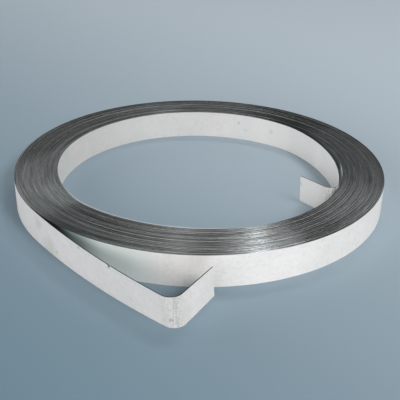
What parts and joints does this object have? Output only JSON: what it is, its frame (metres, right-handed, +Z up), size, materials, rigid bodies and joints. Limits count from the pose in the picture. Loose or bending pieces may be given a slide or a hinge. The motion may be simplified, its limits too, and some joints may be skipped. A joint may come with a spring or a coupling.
{
  "type": "roll of steel strapping",
  "caption": "Flat-lying roll of galvanised steel strap with an open bore, its outer end bent out and folded back and its inner end folded into the bore.",
  "frame": {"origin": "on the axis of the roll, at the level of the floor that it lies on", "axes": "+Z up along the axis of the roll, +Y away from the side that the outer free end bends out to, +X to the right of it"},
  "size_m": [0.3644, 0.4217, 0.0303],
  "materials": {
    "galvanised_steel": "zinc-coated strap, satin, with bare dark slit edges"
  },
  "bodies": {
    "root": {"steel_strap": "galvanised_steel"}
  },
  "joints": []
}
